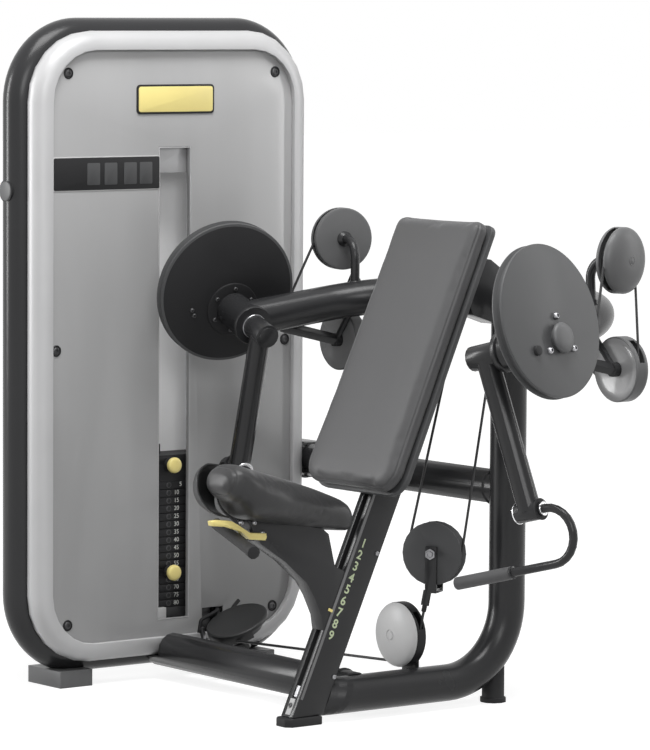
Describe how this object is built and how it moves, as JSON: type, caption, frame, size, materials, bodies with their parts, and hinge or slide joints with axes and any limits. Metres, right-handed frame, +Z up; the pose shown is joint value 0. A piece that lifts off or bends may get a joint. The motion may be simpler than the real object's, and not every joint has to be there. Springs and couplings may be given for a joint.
{
  "type": "arm curl machine",
  "caption": "Seated arm curl gym machine: weight tower with pin-selected stack, reclined backrest, sloped seat on a leaning post, two canted lever arms with cam discs, cables and pulleys.",
  "frame": {"origin": "Middle of the machine's outline on the floor", "axes": "+Z up; the user sits facing -X, with the weight tower on their right at +Y"},
  "size_m": [0.8584, 1.4224, 1.47],
  "materials": {
    "frame_paint": "satin charcoal powder coat",
    "silver_paint": "bright satin silver",
    "panel_gloss": "glossy mid grey",
    "channel_metal": "satin grey",
    "cover_plastic": "fine matte grey",
    "rubber_black": "matte black",
    "rod_chrome": "polished",
    "plate_iron": "black satin paint",
    "yellow_plastic": "glossy yellow",
    "vinyl_black": "black vinyl with fine grain",
    "board_plastic": "black",
    "disc_plastic": "matte dark grey",
    "wheel_plastic": "dark grey nylon",
    "pulley_plastic": "dark grey, soft gloss",
    "cover_pale": "light grey",
    "cable_black": "black nylon coat",
    "fork_steel": "satin black"
  },
  "bodies": {
    "frame": {"tower_frame": "frame_paint", "tower_bezel": "silver_paint", "tower_panel": "panel_gloss", "stack_channel": "channel_metal", "tower_rear_cover": "cover_plastic", "tower_foot_front": "rubber_black", "tower_foot_rear": "rubber_black", "guide_rod_front": "rod_chrome", "guide_rod_rear": "rod_chrome", "weight_plates_resting": "plate_iron", "tower_beam": "frame_paint", "main_frame": "frame_paint", "cross_tube": "frame_paint", "post": "frame_paint", "post_foot": "rubber_black", "rear_foot": "rubber_black", "top_tube": "frame_paint", "head_bracket": "frame_paint", "pad_board": "board_plastic", "pad": "vinyl_black", "upper_pulley_cover_right": "pulley_plastic", "upper_pulley_cover_left": "pulley_plastic", "lower_pulley_arm_right": "frame_paint", "lower_pulley_arm_left": "frame_paint", "lower_pulley_cover_right": "pulley_plastic", "lower_pulley_cover_left": "pulley_plastic", "base_pulley_cover": "cover_pale", "base_bracket": "frame_paint", "puck_bracket": "frame_paint", "arm_cable": "cable_black", "stack_cable": "cable_black"},
    "lever_right": {"cam_disc_right": "disc_plastic", "lever_arm_right": "frame_paint"},
    "handle_right": {"handle_rod_right": "frame_paint", "grip_right": "rubber_black"},
    "upper_wheel_right": {"upper_wheel_right": "wheel_plastic"},
    "lower_wheel_right": {"lower_wheel_right": "wheel_plastic"},
    "head_wheel_right": {"head_wheel_right": "wheel_plastic"},
    "lever_left": {"cam_disc_left": "disc_plastic", "lever_arm_left": "frame_paint"},
    "handle_left": {"handle_rod_left": "frame_paint", "grip_left": "rubber_black"},
    "upper_wheel_left": {"upper_wheel_left": "wheel_plastic"},
    "lower_wheel_left": {"lower_wheel_left": "wheel_plastic"},
    "head_wheel_left": {"head_wheel_left": "wheel_plastic"},
    "floating_pulley": {"floating_fork": "fork_steel"},
    "floating_wheel": {"floating_wheel": "wheel_plastic"},
    "stack_lift": {"weight_plates_lifted": "plate_iron", "selector_stem": "plate_iron"},
    "selector_pin": {"selector_pin": "yellow_plastic"},
    "increment_knob": {"increment_knob": "yellow_plastic"},
    "seat": {"seat_pad": "vinyl_black", "seat_carriage": "frame_paint", "seat_handle": "rubber_black"},
    "release_lever": {"release_lever": "yellow_plastic"},
    "base_wheel": {"base_wheel": "wheel_plastic"},
    "puck_wheel": {"puck_wheel": "wheel_plastic"},
    "turner_wheel": {"turner_wheel": "wheel_plastic"},
    "tower_wheel": {"tower_wheel": "wheel_plastic"}
  },
  "joints": [
    {"name": "lever_right_turn", "type": "hinge", "parent": "frame", "child": "lever_right", "pos_m": [0.04275, 0.43766, 0.8328], "axis": [0.2139, 0.9467, 0.2409], "range_deg": [0, 130], "deforming": ["arm_cable"]},
    {"name": "lever_left_turn", "type": "hinge", "parent": "frame", "child": "lever_left", "pos_m": [0.04275, -0.63734, 0.8328], "axis": [-0.2139, 0.9467, -0.2409], "range_deg": [0, 130]},
    {"name": "handle_right_swivel", "type": "hinge", "parent": "lever_right", "child": "handle_right", "pos_m": [0.03315, 0.39519, 0.48409], "axis": [0.2139, 0.9467, 0.2409], "range_deg": [-30, 30]},
    {"name": "handle_left_swivel", "type": "hinge", "parent": "lever_left", "child": "handle_left", "pos_m": [0.03315, -0.59487, 0.48409], "axis": [-0.2139, 0.9467, -0.2409], "range_deg": [-30, 30]},
    {"name": "floating_pulley_slide", "type": "slide", "parent": "frame", "child": "floating_pulley", "axis": [0.2202, 0, 0.9755], "range_m": [0, 0.3443], "deforming": ["stack_cable"]},
    {"name": "stack_lift_slide", "type": "slide", "parent": "frame", "child": "stack_lift", "axis": [0, 0, 1], "range_m": [0, 0.3443]},
    {"name": "upper_wheel_right_spin", "type": "hinge", "parent": "frame", "child": "upper_wheel_right", "pos_m": [0.29255, 0.36666, 0.9838], "axis": [-0.2425, -0.9701, 0], "range_deg": [0, 345]},
    {"name": "lower_wheel_right_spin", "type": "hinge", "parent": "frame", "child": "lower_wheel_right", "pos_m": [0.29975, 0.36726, 0.7588], "axis": [1, 0, 0], "range_deg": [0, 345]},
    {"name": "head_wheel_right_spin", "type": "hinge", "parent": "frame", "child": "head_wheel_right", "pos_m": [0.30775, 0.00016, 0.872], "axis": [-0.9766, 0, 0.2149], "range_deg": [0, 544]},
    {"name": "upper_wheel_left_spin", "type": "hinge", "parent": "frame", "child": "upper_wheel_left", "pos_m": [0.29255, -0.56634, 0.9838], "axis": [0.2425, -0.9701, 0], "range_deg": [0, 345]},
    {"name": "lower_wheel_left_spin", "type": "hinge", "parent": "frame", "child": "lower_wheel_left", "pos_m": [0.29975, -0.56694, 0.7588], "axis": [-1, 0, 0], "range_deg": [0, 345]},
    {"name": "head_wheel_left_spin", "type": "hinge", "parent": "frame", "child": "head_wheel_left", "pos_m": [0.30775, -0.19984, 0.872], "axis": [0.9766, 0, -0.2149], "range_deg": [0, 544]},
    {"name": "floating_wheel_spin", "type": "hinge", "parent": "floating_pulley", "child": "floating_wheel", "pos_m": [0.18675, -0.09984, 0.336], "axis": [-0.8713, -0.4907, 0], "continuous": true},
    {"name": "base_wheel_spin", "type": "hinge", "parent": "frame", "child": "base_wheel", "pos_m": [0.14475, -0.04184, 0.158], "axis": [-1, 0, 0], "range_deg": [0, 328]},
    {"name": "puck_wheel_spin", "type": "hinge", "parent": "frame", "child": "puck_wheel", "pos_m": [0.09775, 0.48106, 0.1187], "axis": [-0.44, -0.0749, 0.8949], "range_deg": [0, 345]},
    {"name": "turner_wheel_spin", "type": "hinge", "parent": "frame", "child": "turner_wheel", "pos_m": [0.14255, 0.60896, 0.1783], "axis": [-0.7283, 0.6853, 0], "range_deg": [0, 782]},
    {"name": "tower_wheel_spin", "type": "hinge", "parent": "frame", "child": "tower_wheel", "pos_m": [0.0707, 0.63316, 1.29], "axis": [0, 1, 0], "range_deg": [0, 224]},
    {"name": "selector_pin_pull", "type": "slide", "parent": "stack_lift", "child": "selector_pin", "axis": [0, -1, 0], "range_m": [0, 0.05]},
    {"name": "increment_knob_pull", "type": "slide", "parent": "stack_lift", "child": "increment_knob", "axis": [0, -1, 0], "range_m": [0, 0.018]},
    {"name": "seat_height", "type": "slide", "parent": "frame", "child": "seat", "axis": [0.4131, 0, 0.9107], "range_m": [-0.0516, 0.018]},
    {"name": "release_lever_squeeze", "type": "hinge", "parent": "seat", "child": "release_lever", "pos_m": [-0.29625, -0.12884, 0.408], "axis": [0, 1, 0], "range_deg": [0, 4], "stiffness_Nm_per_rad": 1.2}
  ],
  "couplings": [
    {"joint": "upper_wheel_right_spin", "follows": "lever_right_turn", "ratio": 2.6316},
    {"joint": "lower_wheel_right_spin", "follows": "lever_right_turn", "ratio": 2.6316},
    {"joint": "head_wheel_right_spin", "follows": "lever_right_turn", "ratio": 4.1667},
    {"joint": "upper_wheel_left_spin", "follows": "lever_right_turn", "ratio": 2.6316},
    {"joint": "lower_wheel_left_spin", "follows": "lever_right_turn", "ratio": 2.6316},
    {"joint": "head_wheel_left_spin", "follows": "lever_right_turn", "ratio": 4.1667},
    {"joint": "base_wheel_spin", "follows": "lever_right_turn", "ratio": 2.5},
    {"joint": "puck_wheel_spin", "follows": "lever_right_turn", "ratio": 2.6316},
    {"joint": "turner_wheel_spin", "follows": "lever_right_turn", "ratio": 6},
    {"joint": "tower_wheel_spin", "follows": "lever_right_turn", "ratio": 1.7045},
    {"joint": "lever_left_turn", "follows": "lever_right_turn", "ratio": 1},
    {"joint": "floating_pulley_slide", "follows": "lever_right_turn", "m_per_rad": 0.15},
    {"joint": "stack_lift_slide", "follows": "lever_right_turn", "m_per_rad": 0.15}
  ]
}
